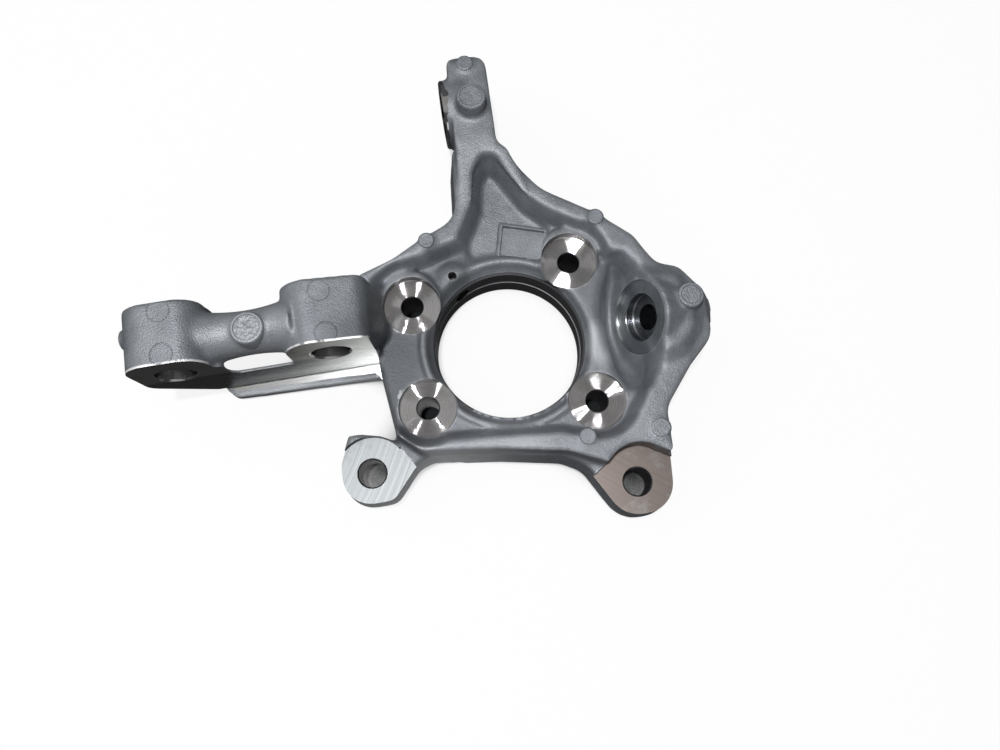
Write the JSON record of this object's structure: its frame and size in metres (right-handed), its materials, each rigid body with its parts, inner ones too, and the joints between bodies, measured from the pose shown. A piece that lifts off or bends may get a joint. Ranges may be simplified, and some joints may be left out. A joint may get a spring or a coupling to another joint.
{
  "type": "steering knuckle",
  "caption": "Cast aluminium steering knuckle with hub bore, spotfaced bolt holes, strut lug, caliper ears, ball joint seat and steering arm.",
  "frame": {"origin": "on the axis of the hub bore, in the outboard hub face that the part lies on", "axes": "+Z along the hub bore to the inboard side, +X towards the ball joint and parallel to the line through the strut bolts, +Y towards the steering arm and square to the strut face"},
  "size_m": [0.3337, 0.2996, 0.0777],
  "materials": {
    "cast_aluminium": "shot-blasted casting, with turned and milled seats"
  },
  "bodies": {
    "root": {"knuckle": "cast_aluminium"}
  },
  "joints": []
}
